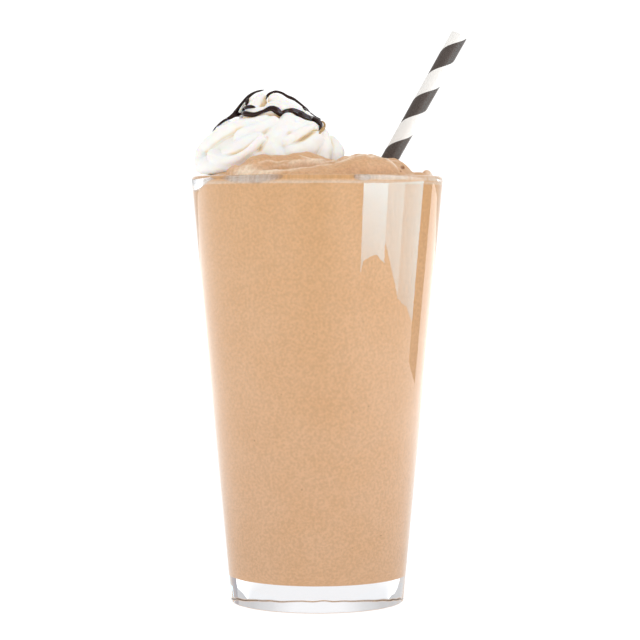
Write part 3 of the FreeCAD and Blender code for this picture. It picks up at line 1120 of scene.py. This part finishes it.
@dataclass
class HeapedShake(FoldedMass):
    """The milkshake: it fills the glass wall to wall and stands above the rim in soft folds."""

    strokes: list[Stroke] = field(default_factory=list)
    softness: float = 1.0
    around: int = 400
    into_wall: float = 0.15
    below_rim: float = 1.0
    rise: float = 3.1
    squash: float = 0.55
    front_bunching: float = 0.42
    ridge: float = 0.42
    crease_reach: float = 1.4

    def settle(self, glass: MixingGlass) -> "HeapedShake":
        """Lays the folds relative to the rim's middle.

        Args:
            glass: the glass that it fills.

        Returns:
            The drink itself.
        """
        self.glass = glass
        rim, scale = np.array([0.0, 0.0, glass.height]), np.array([1.0, self.squash, 1.0])
        self.strokes = [
            Stroke(tuple(tuple(rim + point * scale) for point in np.array(points)), thickness)
            for points, thickness in SHAKE_FOLDS
        ]
        self.prepare()
        return self

    def level(self, turn: np.ndarray) -> np.ndarray:
        """Height where the shake leaves the wall.

        Formula: the mean level, a slow uneven swell round the glass, and named dips where air shows
        between drink and wall.

        Args:
            turn: angle round the glass, in radians.

        Returns:
            The height at each angle.
        """
        ring = np.stack([np.cos(turn), np.sin(turn), np.zeros_like(turn)], axis=-1) * 40
        height = self.glass.height - self.below_rim + 0.2 * ripples(ring, 22.0, 21)
        height = height + 0.12 * ripples(ring, 5.0, 22)
        for at, width, depth in WALL_DIPS:
            off = (np.degrees(turn) - at + 180) % 360 - 180
            height -= depth * np.exp(-((off / width) ** 4))
        return np.minimum(height, self.glass.height - 0.75)

    def core(self, points: np.ndarray) -> np.ndarray:
        """Height above the low dome under the folds.

        Formula: the dome's rise times one less the sixth power of the share of the radius.

        Args:
            points: where to work it out.

        Returns:
            The height of each point above it.
        """
        reach = self.glass.rim_radius - self.glass.rim_wall
        share = np.minimum(np.hypot(points[..., 0], points[..., 1] / self.squash) / reach, 1.0)
        dome = self.glass.height - self.below_rim + self.rise * (1 - share**6)
        return (points[..., 2] - dome) * 0.8

    def flow(self, across: np.ndarray, height: np.ndarray) -> np.ndarray:
        """How strongly each point of the heap's front lies on one of its flow lines.

        Formula: for each line, a bell of its own half width in the height above or below it, fading out
        over the last millimetre and a half at both ends; ridges count up and creases down. Where the heap
        is so steep that a ring passes over a line, the bell is wider and lower.

        Args:
            across: places across from the axis.
            height: heights above the rim, ring by ring.

        Returns:
            The sum over all lines.
        """
        total = np.zeros(across.shape)
        steep = np.abs(np.gradient(height, axis=0))
        for points, width, strength in FLOW_LINES:
            line = spline_through(np.array(points), 60)
            middle = np.interp(across, line[:, 0], line[:, 1])
            ends = smooth_step(line[0, 0] - 0.3, line[0, 0] + 1.5, across)
            ends *= 1 - smooth_step(line[-1, 0] - 1.5, line[-1, 0] + 0.3, across)
            wide = np.maximum(width * 1.3, steep * 1.1)
            total += strength * ends * np.exp(-(((height - middle) / wide) ** 2)) * width * 1.3 / wide
        return total

    def build(self, inside: MilkFoam, top: MilkFoam) -> bpy.types.Object:
        """Makes the sides and the heap as one skin.

        Formula: the sides follow the inside of the glass, a little into its wall so that no air shows. The
        top is a polar net of rays that fall onto the folds, closer together at the front; towards the wall
        it bends down to the level there. Fine ridges run along the folds.

        Args:
            inside: finish against the glass.
            top: finish of the open top.

        Returns:
            The drink.
        """
        glass = self.glass
        even = np.arange(self.around) / self.around * FULL_TURN
        turn = even - self.front_bunching * np.cos(even)
        level = self.level(turn)
        corner = glass.floor_corner(self.into_wall)
        share = np.concatenate([np.linspace(0, 0.93, 27)[1:], np.linspace(0.93, 1, 31)[1:]])[:, None]
        side_height = corner[-1, 1] + (level[None, :] - corner[-1, 1]) * share
        side_radius = glass.inside(side_height) + self.into_wall
        around = np.ones((1, self.around))
        radius = np.vstack([corner[:, :1] * around, side_radius])
        height = np.vstack([corner[:, 1:] * around, side_height])
        in_share = (1 - np.linspace(0, 1, 176)[1:-1] ** 1.1)[:, None]
        top_radius = in_share * side_radius[-1][None, :]
        across, depth = top_radius * np.cos(turn), top_radius * np.sin(turn)
        above = np.stack([across, depth * self.squash, 0 * top_radius + glass.height + 14], axis=-1)
        down = np.broadcast_to(np.array([0.0, 0.0, -1.0]), above.shape)
        heap_height = self.meet(above, down, rounds=40)[..., 2]
        to_wall = 1 - smooth_step(0.0, 1.5, side_radius[-1][None, :] - top_radius)
        drop = np.sqrt(np.clip(1 - to_wall**2, 0, 1))
        heap_height = level[None, :] + (heap_height - level[None, :]) * drop
        flat = np.stack([across, depth, 0 * across], axis=-1)
        # The flow lines, the swirl behind and the fine layers raise ridges; where they stand up the foam is
        # also painted pale, a painted highlight.
        lines = self.flow(across, heap_height - glass.height) * smooth_step(2.0, -6.0, depth) * drop
        behind = smooth_step(-8.0, 4.0, depth) * drop
        swirl = np.hypot(across - 8, depth * 1.4 - 20) + 2.0 * ripples(flat, 22.0, 31)
        lines += behind * (1 - np.abs(np.sin(swirl * math.pi / 6.5))) ** 4
        layers = (heap_height - glass.height) * 1.15 + across * 0.03 + 0.55 * ripples(flat, 11.0, 35)
        fine = (1 - np.abs(np.sin(layers * math.pi))) ** 5 * smooth_step(-4.0, -12.0, depth) * drop
        fine *= 1 - smooth_step(0.2, 0.5, np.abs(np.gradient(heap_height, axis=0)))
        lines += 0.3 * fine * (0.6 + 0.4 * ripples(flat, 6.0, 36))
        unevenness = 0.16 * ripples(flat, 4.5, 32) + 0.09 * ripples(flat, 1.9, 33)
        heap_height += self.ridge * lines + drop * unevenness
        # Painted light: where air shows between drink and wall, the foam lies in shade behind the glass. It
        # is painted pale in vertical bars that stand in for the bright streaks the lip shows.
        open_air = np.clip((glass.height - self.below_rim - 0.3 - level) / 1.2, 0, 1)[None, :]
        painted_bars = 0.65 + 0.35 * ripples(np.stack([turn * 41, 0 * turn, 0 * turn], axis=-1), 1.6, 34)
        lines = lines + 1.7 * open_air * painted_bars * (1 - smooth_step(1.0, 4.0, side_radius[-1] - top_radius))
        # Painted light: the open foam at the front right by the wall lies in shadow and is painted pale.
        painted_rim_light = smooth_step(13.5, 15.5, across) * (depth < 0)
        lines += 1.5 * painted_rim_light * (1 - smooth_step(0.3, 0.9, side_radius[-1] - top_radius))
        burst = np.zeros(across.shape)
        for at, above_rim, size in BURST_BUBBLES:
            apart = np.hypot(across - at, heap_height - glass.height - above_rim)
            burst += np.where(depth < 0, np.exp(-((apart / size) ** 2)), 0.0)
        heap_height -= 0.7 * burst
        all_radius = np.vstack([radius, top_radius])
        all_height = np.vstack([height, heap_height])
        rings = np.stack([all_radius * np.cos(turn), all_radius * np.sin(turn), all_height], axis=-1)
        begin = np.array([0.0, 0.0, glass.floor - self.into_wall])
        finish = np.array([0.0, 0.0, all_height[-1].mean()])
        piece = new_piece("milkshake_fill", *skin(rings, begin, finish), [inside.material(), top.material()])
        first = 1 + radius.size
        # Painted shade: the creases and the burst pits get a value that darkens their colour.
        hollow = self.hollows(piece, self.crease_reach)
        hollow[:first] = 0
        hollow[first:-1] = hollow[first:-1] * drop.ravel() ** 2 + 2.6 * burst.ravel()
        mark(piece, "hollow", hollow)
        streak = np.zeros(len(piece.data.vertices))
        streak[first:-1] = lines.ravel()
        below = height - glass.height
        side_across = radius * np.cos(turn)
        # Painted highlight: a pale band 1.4 to 3 mm under the rim all round stands in for the bright band
        # the lip shows. So does a pale strip at the front right up to the level, broken into bars from 28.5
        # to 37.5 mm across.
        film = 0.7 * smooth_step(-3.0, -2.75, below) * (1 - smooth_step(-2.4, -1.4, below))
        painted_light_strip = smooth_step(13.5, 15.5, side_across) * smooth_step(-1.8, -1.5, below) * (np.sin(turn) < 0)
        painted_bar_span = smooth_step(28.5, 30.0, side_across) * (1 - smooth_step(36.0, 37.5, side_across))
        painted_light_strip *= 1 - 0.3 * painted_bar_span * (1 + np.sin(side_across * FULL_TURN / 1.5))
        film = np.maximum(film, 1.1 * painted_light_strip)
        streak[1:first] = film.ravel()
        mark(piece, "streak", streak)
        side_quads = (len(radius) - 1) * self.around
        slots = np.ones(len(piece.data.polygons), dtype=np.int32)
        slots[:side_quads] = 0
        slots[-2 * self.around : -self.around] = 0
        piece.data.polygons.foreach_set("material_index", slots)
        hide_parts("milkshake")
        return piece


# Bubbles that burst on the front of the heap: places across and above the rim, and sizes.
BURST_BUBBLES = ((29.5, 3.0, 0.6), (28.6, 1.4, 0.22), (24.2, 1.1, 0.2), (-20.4, 2.6, 0.2))

# Where air shows between the drink and the wall: angle and half width in degrees, and depth.
WALL_DIPS = ((236, 14, 1.8), (291, 4, 1.0), (183, 25, 4.4), (349, 6, 1.2), (60, 10, 1.6), (120, 7, 0.8))

# Each fold of the heap: points relative to the middle of the rim, and thickness at both ends.
SHAKE_FOLDS = (
    (((-24.0, -24, 0.0), (-20.6, -24, 2.6), (-17.0, -23, 2.9), (-12.5, -22, 2.3)), (4.1, 4.1)),
    (((-12.5, -22, 2.4), (-8.5, -21, 3.3), (-5.0, -20, 4.1), (-1.6, -19, 3.6), (2.4, -18, 1.9)), (4.0, 3.8)),
    (((-24, -30, -3.2), (-12, -34, -2.6), (-2, -34, -2.4)), (4.0, 4.2)),
    (((2.4, -18, 1.6), (7, -16, 1.6), (10, -14, 2.4)), (3.8, 3.9)),
    (((-7, -35, -2.6), (2, -32, -0.8), (8, -30, 0.1), (12, -28, 2.0), (16, -26, 2.6)), (3.9, 3.9)),
    (((16, -26, 2.6), (20, -24, 2.2), (23, -22, 1.7), (26, -20, -0.6), (28, -19, -2.6)), (3.9, 3.8)),
    (((10, -14, 2.4), (14, -13, 3.4), (18.5, -11, 3.3), (22, -9, 2.2), (26, -8, 1.9)), (4.0, 4.0)),
    (((26, -8, 1.9), (29, -9, 1.0), (30.6, -10, -0.8)), (4.0, 3.0)),
    (((22, -14, 0.6), (27.5, -15, 0.6), (31.0, -16, -2.2)), (3.6, 2.6)),
    (((-28.8, -24, 0.4), (-28.0, -24, 0.7)), (2.5, 2.5)),
    (((34.7, -12, -0.7), (36.2, -11, -0.7)), (1.8, 1.8)),
    (((38.3, -7, 0.3), (40.6, -3, -0.5)), (1.7, 1.5)),
    (((-31, -14, -3.5), (-34, 0, -3.5), (-31, 14, -3.5)), (5.0, 5.0)),
    (((-26, 27, -3.4), (-10, 33, -1.5), (8, 32, -0.6), (24, 22, -1.4)), (5.0, 5.2)),
    (((-14, 20, 1.0), (4, 22, 2.0), (20, 14, 1.6), (28, 4, 0.4)), (4.4, 4.2)),
    (((5, 6, 2.2), (18, 3, 2.2)), (4.0, 4.0)),
)

# The lines that the spoon left on the front of the heap: points across from the axis and above the rim,
# half width, and height of the ridge, less than 0 for a crease.
FLOW_LINES = (
    (((-27.2, 0.9), (-21.5, 1.2), (-14.7, 1.1), (-10.3, 1.3), (-5.2, 2.0), (-1.1, 2.7),
      (1.6, 3.2), (5.7, 3.7)), 0.2, 0.75),
    (((5.7, 3.9), (9.2, 4.6), (12.8, 6.2), (15.7, 6.8), (17.9, 6.1), (20.4, 6.3), (22.9, 5.9)), 0.26, 1.1),
    (((22.9, 5.9), (25.1, 4.4), (26.9, 2.9), (28.2, 1.0)), 0.3, 1.1),
    (((-22.9, 1.9), (-17.4, 2.0), (-14.2, 3.0), (-12.0, 3.3), (-7.9, 2.6), (-4.9, 2.3)), 0.22, 0.8),
    (((-7.6, 5.2), (-4.9, 4.3), (-1.7, 4.0), (1.6, 4.1), (4.3, 4.6), (7.6, 5.0)), 0.22, 1.0),
    (((-6.5, 7.2), (-5.2, 6.1), (-2.5, 5.3), (0.3, 4.9), (3.2, 5.1)), 0.22, 0.9),
    (((-10.9, 4.1), (-7.9, 3.7), (-5.2, 3.4), (-1.7, 3.3), (1.6, 3.6), (5.1, 4.3)), 0.2, 0.8),
    (((-20.7, 3.9), (-18.8, 4.3), (-15.8, 4.5), (-12.0, 4.3), (-9.5, 4.9)), 0.22, 0.7),
    (((-20.0, 5.4), (-17.0, 5.7), (-14.5, 6.2), (-12.8, 5.8), (-12.2, 5.1)), 0.24, -1.0),
    (((-9.5, 6.4), (-8.0, 5.9), (-6.0, 4.8), (-3.0, 4.5)), 0.2, -0.7),
    (((-25.5, 2.9), (-23.0, 3.1), (-18.0, 3.2)), 0.2, 0.5),
    (((-4.0, 2.9), (0.0, 3.6), (3.0, 3.9), (6.5, 4.4)), 0.16, -0.7),
    (((8.0, 5.4), (11.0, 6.2), (13.5, 7.0)), 0.2, 0.7),
    (((-10.0, 4.3), (-6.0, 4.5), (-1.7, 4.6), (2.4, 4.9)), 0.6, 0.8),
    (((24.0, 5.4), (26.5, 5.2), (29.0, 4.4)), 0.25, 0.5),
)


# --- the sauce


@dataclass(frozen=True)
class Strand:
    """One strand of sauce: places across and above the rim, as seen from the eye, and its widths there.

    Its film is 1 where the sauce has run so thin that the cream shines through it.
    """

    points: tuple[tuple[float, float], ...]
    widths: tuple[float, ...]
    film: float = 0.0


@dataclass
class SauceDrizzle:
    """Thin strands of chocolate sauce that lie in the cream's folds."""

    cream: PipedCream
    along: int = 150
    around: int = 18
    flatness: float = 0.75

    def rest(self, strand: Strand) -> tuple[np.ndarray, np.ndarray]:
        """Lays a strand's middle line on the cream.

        Formula: rays from the eye meet the cream's skin, or pass it where its edge is seen; the skin's
        outward direction is the slope of the distance field.

        Args:
            strand: the strand.

        Returns:
            The line's points and the outward directions there.
        """
        flat = spline_through(np.array(strand.points), self.along)
        seen = np.stack([flat[:, 0], 0 * flat[:, 0], flat[:, 1] + self.cream.base], axis=1)
        ways = unit(seen - EYE)
        origins = seen - ways * 80
        points = origins + ways * self.cream.march(origins, ways, 60)[:, None]
        missed = np.abs(self.cream.distance(points)) > 0.5
        points[missed] = (seen + ways * self.cream.centre[1])[missed]
        step = 0.4
        slope = [
            self.cream.distance(points + step * axis) - self.cream.distance(points - step * axis)
            for axis in np.eye(3)
        ]
        return points, unit(np.stack(slope, axis=1))

    def lay(self, strand: Strand) -> tuple[np.ndarray, list]:
        """Sweeps a flattened round section along the strand.

        Formula: an ellipse, as wide as the strand and less tall, follows the line with its flat side on
        the cream; its size tapers to nothing at the ends as the root of the way left.

        Args:
            strand: the strand.

        Returns:
            Its vertices and faces.
        """
        line, out = self.rest(strand)
        for _ in range(4):
            line[1:-1] = (line[:-2] + line[1:-1] * 2 + line[2:]) / 4
            out = unit(np.vstack([out[:1], out[:-2] + out[1:-1] * 2 + out[2:], out[-1:]]))
        side, up = swept_frames(line, out)
        place = np.linspace(0, 1, self.along)
        width = np.interp(place, np.linspace(0, 1, len(strand.widths)), strand.widths)
        taper = np.sqrt(np.clip(np.minimum(place, 1 - place) * 14, 0.0, 1.0)) * 0.96 + 0.04
        half = (width * taper / 2)[:, None, None]
        angle = np.arange(self.around) / self.around * FULL_TURN
        across = np.cos(angle)[None, :, None] * half
        above = np.sin(angle)[None, :, None] * half * self.flatness
        rings = line[:, None] + side[:, None] * across + up[:, None] * (above + 0.25 * half)
        return skin(rings, line[0], line[-1])

    def build(self, finish: ChocolateSauce) -> bpy.types.Object:
        """Lays all strands as one piece.

        Args:
            finish: its sauce.

        Returns:
            The drizzle.
        """
        points, faces, film = [], [], []
        for strand in SAUCE_STRANDS:
            first = sum(len(part) for part in points)
            vertices, polygons = self.lay(strand)
            points.append(vertices)
            faces += [[first + i for i in polygon] for polygon in polygons]
            film.append(np.full(len(vertices), strand.film))
        piece = new_piece("chocolate_drizzle", np.vstack(points), faces, [finish.material()])
        mark(piece, "film", np.concatenate(film))
        return piece


# The strands of sauce: places across from the glass's axis and above the rim, and widths along them.
SAUCE_STRANDS = (
    Strand(
        (
            (-37.0, 15.7), (-35.0, 17.7), (-32.9, 19.3), (-30.1, 20.9), (-28.4, 23.0), (-26.6, 25.3),
            (-24.6, 27.4), (-21.9, 29.4), (-18.6, 30.4),
        ),
        (0.6, 1.0, 1.3, 1.7, 1.3, 1.3, 1.6, 0.9, 0.6),
    ),
    Strand(
        (
            (-32.9, 19.2), (-30.1, 20.7), (-27.6, 21.7), (-25.6, 22.0), (-22.3, 21.7), (-19.0, 22.8),
            (-16.2, 23.8), (-14.1, 22.9), (-12.7, 21.9), (-11.1, 22.9), (-8.8, 23.1), (-6.4, 22.0),
            (-3.9, 20.6), (-1.5, 19.9), (0.6, 18.6), (1.2, 17.3), (0.6, 16.1),
        ),
        (0.8, 1.5, 1.8, 2.0, 1.8, 1.4, 1.2, 1.9, 2.6, 1.7, 1.4, 2.1, 2.7, 2.3, 2.5, 2.4, 1.2),
    ),
    Strand(
        (
            (-18.4, 26.6), (-17.9, 27.8), (-16.6, 29.0), (-14.6, 29.7), (-12.5, 29.2), (-10.5, 28.0),
            (-8.2, 27.0), (-6.2, 25.5), (-4.3, 23.9), (-2.5, 22.4),
        ),
        (1.0, 1.2, 1.0, 0.9, 1.0, 1.2, 1.0, 1.0, 1.1, 0.7),
    ),
    Strand(((-5.2, 24.5), (-4.3, 23.2)), (0.9, 1.2)),
    Strand(((-2.6, 22.4), (-0.7, 21.0), (1.2, 19.9)), (0.6, 0.5, 0.7)),
    Strand(((-26.3, 22.9), (-25.2, 24.0), (-23.5, 24.4), (-21.7, 24.2)), (1.0, 1.5, 1.4, 0.7)),
    Strand(((-24.3, 27.2), (-24.6, 26.1), (-25.1, 25.0)), (1.0, 1.8, 0.7)),
    Strand(((-27.2, 24.4), (-27.8, 23.1), (-28.2, 21.4)), (0.6, 0.8, 1.2)),
    Strand(((1.5, 19.5), (2.4, 18.4), (2.1, 16.8), (0.6, 14.9)), (0.6, 1.1, 1.3, 0.6), 1.0),
)


# --- the straw


@dataclass
class PaperStraw:
    """A spiral-wound paper tube, straight, with a cut end."""

    diameter: float = 6.0
    wall: float = 0.45
    lead: float = 19.9
    seam: float = 0.04
    phase: float = 0.435
    around: int = 96
    along: int = 520

    def axis(self) -> tuple[np.ndarray, np.ndarray]:
        """The straw's middle line, from the frame's straw.

        Formula: the end points are told apart by their height, since a straight tube has no others.

        Returns:
            The middles of the lower and the upper end.
        """
        points = node_points("straw")
        middle = (points[:, 2].min() + points[:, 2].max()) / 2
        return points[points[:, 2] < middle].mean(0), points[points[:, 2] > middle].mean(0)

    def build(self, finish: PrintedPaper) -> bpy.types.Object:
        """Winds the tube.

        Formula: rings of the outer radius run up the straw, over the cut end, down the bore and back. The
        outer radius has a step of one tape's thickness that climbs once round for each lead, and eases
        back over the turn. The UV map's U grows by one for each lead and falls by one for each turn, so
        that a stripe follows the tape; its V is 1 outside and 0 in the bore.

        Args:
            finish: its paper.

        Returns:
            The straw.
        """
        low, high = self.axis()
        way = unit(high - low)
        length = float(np.linalg.norm(high - low))
        side = unit(np.cross(np.array([0.0, 1.0, 0.0]), way))
        front = np.cross(way, side)
        turn = np.arange(self.around) / self.around * FULL_TURN
        run = np.linspace(0, length, self.along)
        bore = self.diameter / 2 - self.wall
        rounding = 0.12
        shares = np.concatenate([run, run[::-1]])
        outer = np.concatenate([np.ones(self.along), np.zeros(self.along)])
        wound = (shares[:, None] - length) / self.lead - turn[None, :] / FULL_TURN + self.phase
        step = self.seam * (2 * ((wound * 2) % 1.0) - 1)
        ends = np.minimum(shares, length - shares)
        dull = rounding * (1 - smooth_step(0.0, rounding * 2, ends))
        radius = np.where(outer[:, None] > 0, self.diameter / 2 - self.seam + step - dull[:, None], bore)
        reach = shares[:, None, None] * way
        rings = low + reach + radius[..., None] * (
            np.cos(turn)[None, :, None] * side + np.sin(turn)[None, :, None] * front
        )
        points = rings.reshape(-1, 3)
        quads = ring_faces(2 * self.along, self.around, 0, wrap_rings=True)
        piece = new_piece("paper_straw", points, quads.tolist(), [finish.material()])
        self.wrap(piece, length)
        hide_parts("straw")
        return piece

    def wrap(self, piece: bpy.types.Object, length: float) -> None:
        """Gives the straw the UV map that its stripe follows.

        Args:
            piece: the straw.
            length: its length.
        """
        mesh = piece.data
        layer = mesh.uv_layers.new(name="wrap")
        corner = np.empty(len(mesh.loops), dtype=np.int32)
        mesh.loops.foreach_get("vertex_index", corner)
        ring, place = corner // self.around, corner % self.around
        quad = np.arange(len(corner)) // 4
        seam_quad = quad % self.around == self.around - 1
        turned = np.where(seam_quad & (place == 0), self.around, place) / self.around
        outer = ring < self.along
        rings = np.where(outer, ring, 2 * self.along - 1 - ring)
        rise = rings / (self.along - 1) * length
        u = (rise - length) / self.lead - turned + self.phase + 40.0
        uv = np.stack([u, outer.astype(float)], axis=1)
        layer.data.foreach_set("uv", uv.ravel())


# --- the studio


@dataclass
class Studio:
    """A light table, soft lamps, the panes of a window that only the glass mirrors, and a long lens."""

    camera_tilt: float = 2.41
    lens: float = 135.0
    sensor: float = 36.0
    floor_reach: float = 3000.0
    pane_distance: float = 560.0
    transom_bottom: float = 160.0
    pane_top: float = 900.0
    backdrop: float = 1.15
    around: tuple[tuple[float, float], ...] = (
        (0.0, 0.62), (0.5, 0.68), (0.9, 0.72), (0.96, 0.9), (0.985, 1.15),
    )

    def light(self, name: str, place: tuple, aim: tuple, size: tuple, power: float) -> None:
        """Adds a soft area light that no glossy surface mirrors.

        Args:
            name: its name.
            place: where it stands, in millimetres.
            aim: what it points at.
            size: its width and height.
            power: in watts.
        """
        data = bpy.data.lights.new(name, "AREA")
        data.shape = "RECTANGLE"
        data.size, data.size_y = (s * MM for s in size)
        data.energy = power
        lamp = bpy.data.objects.new(name, data)
        lamp.location = Vector(place) * MM
        lamp.rotation_euler = (Vector(aim) - Vector(place)).to_track_quat("-Z", "Y").to_euler()
        lamp.visible_camera = False
        lamp.visible_glossy = False
        lamp.visible_transmission = False
        bpy.context.scene.collection.objects.link(lamp)

    def card(self, name: str, corners: list, strength: float, colour: str, low: float = 1.0) -> None:
        """Adds a glowing panel beside the object that only mirror-like surfaces show.

        Args:
            name: its name.
            corners: azimuth from the front, distance and height of each corner, in degrees and millimetres.
            strength: its brightness.
            colour: its colour.
            low: the share of that brightness at its lower edge; it is full from 70 mm upwards.
        """
        points = [(d * math.sin(math.radians(a)), -d * math.cos(math.radians(a)), h) for a, d, h in corners]
        mesh = bpy.data.meshes.new(name)
        mesh.from_pydata((np.array(points) * MM).tolist(), [], [list(range(len(points)))])
        material, tree = empty_material(name)
        height = add_node(tree, "SeparateXYZ", {"Vector": add_node(tree, "TexCoord").outputs["Object"]})
        level = add_node(
            tree,
            "MapRange",
            {
                "Value": height.outputs["Z"],
                "From Min": 20 * MM,
                "From Max": 70 * MM,
                "To Min": strength * low,
                "To Max": strength,
            },
        )
        glow = add_node(tree, "Emission", {"Color": linear(colour), "Strength": level.outputs[0]})
        add_node(tree, "OutputMaterial", {"Surface": glow.outputs[0]})
        mesh.materials.append(material)
        panel = bpy.data.objects.new(name, mesh)
        bpy.context.scene.collection.objects.link(panel)
        panel.visible_camera = False
        panel.visible_diffuse = False
        panel.visible_shadow = False

    def build(self) -> None:
        """Sets up the floor, the lights, the background and the camera."""
        scene = bpy.context.scene
        scene.view_settings.view_transform = "Standard"
        reach = self.floor_reach
        mesh = bpy.data.meshes.new("light_table")
        low = -0.1
        signs = ((-1, -1), (1, -1), (1, 1), (-1, 1))
        corners = np.array([(across * reach, back * reach, low) for across, back in signs])
        mesh.from_pydata((corners * MM).tolist(), [], [[0, 1, 2, 3]])
        mesh.materials.append(LightTable().material())
        floor = bpy.data.objects.new("light_table", mesh)
        scene.collection.objects.link(floor)

        world = bpy.data.worlds.new("studio")
        world.use_nodes = True
        tree = world.node_tree
        tree.nodes.clear()
        way = add_node(tree, "TexCoord").outputs["Generated"]
        split = add_node(tree, "SeparateXYZ", {"Vector": way})
        share = add_node(tree, "MapRange", {"Value": split.outputs["Y"], "From Min": -1.0, "From Max": 1.0})
        bright = add_node(
            tree, "ValToRGB", {"Fac": share.outputs[0]},
            [(place, grey(level)) for place, level in self.around]
        ).outputs["Color"]
        seen = add_node(tree, "LightPath").outputs["Is Camera Ray"]
        shown = add_node(tree, "MapRange", {"Value": seen, "To Min": bright, "To Max": self.backdrop})
        glow = add_node(tree, "Background", {"Color": shown.outputs[0], "Strength": 1.0})
        add_node(tree, "OutputWorld", {"Surface": glow.outputs[0]})
        scene.world = world

        self.light("key", (600, -900, 550), (0, 0, 110), (600, 600), 2.0)
        self.light("fill", (-700, -900, 450), (0, 0, 100), (700, 700), 1.4)
        self.light("top", (-50, 150, 1000), (0, 0, 150), (600, 600), 2.4)
        near, bottom, top = self.pane_distance, self.transom_bottom, self.pane_top
        sky = "a4e4ff"
        lower = [(41.2, near, 14), (43.5, near, 22), (50, near, 27), (57, near, 31), (65.5, near, 30)]
        upper = [(65.5, near, 96), (57, near, 93), (50, near, 91), (41.2, near, 89)]
        self.card("window_left_pane", [*lower, *upper], 14.6, sky, 0.5)
        lower = [(65.5, near, 42), (75, near, 31), (84.5, near, 21)]
        upper = [(84.5, near, 105.5), (75, near, 101), (65.5, near, 96)]
        self.card("window_middle_pane", [*lower, *upper], 9.0, sky, 0.7)
        lower = [(84.5, near, 20), (98, near, 24), (110, near, 23)]
        upper = [(110, near, 121), (98, near, 114), (84.5, near, 105.5)]
        self.card("window_right_pane", [*lower, *upper], 6.0, sky, 0.7)
        lower = [(41.2, near, bottom), (65.5, near, bottom), (84.5, near, bottom), (110, near, bottom)]
        self.card("window_transom", [*lower, (110, near, top), (41.2, near, top)], 3.0, "dceaff")
        lower = [(110, near, 0), (127, near, 0)]
        self.card("grey_flag", [*lower, (127, near, top), (110, near, top)], 0.38, "f0f0ff")

        data = bpy.data.cameras.new("camera")
        data.lens, data.sensor_width = self.lens, self.sensor
        camera = bpy.data.objects.new("camera", data)
        camera.location = Vector(EYE) * MM
        camera.rotation_euler = (math.radians(90 - self.camera_tilt), 0, 0)
        scene.collection.objects.link(camera)
        scene.camera = camera


# --- main


def report(piece: bpy.types.Object) -> None:
    """Logs a piece's name and how many faces it has."""
    log.info("%s: %d faces", piece.name, len(piece.data.polygons))


def main() -> None:
    """Builds the studio and every piece of the milkshake, in order."""
    logging.basicConfig(level=logging.INFO, format="%(name)s %(message)s", force=True)
    Studio().build()
    glass = MixingGlass()
    report(glass.build(PressedGlass()))
    # One foam in two copies. The one against the glass is painted lighter, as painted light making up for
    # what the glass takes. The open top is painted darker, as painted shade offsetting the lamps on the
    # heap.
    inside = MilkFoam(FoamSurface.AGAINST_GLASS, colour="efbb8a", cloud="f2c194", upper="f7f2e0")
    top = MilkFoam(FoamSurface.OPEN, colour="d1a37a", cloud="d9ae86")
    report(HeapedShake().settle(glass).build(inside, top))
    cream = PipedCream()
    report(cream.build(WhippedDairyCream()))
    report(SauceDrizzle(cream).build(ChocolateSauce()))
    report(PaperStraw().build(PrintedPaper()))


if __name__ == "__main__":
    main()
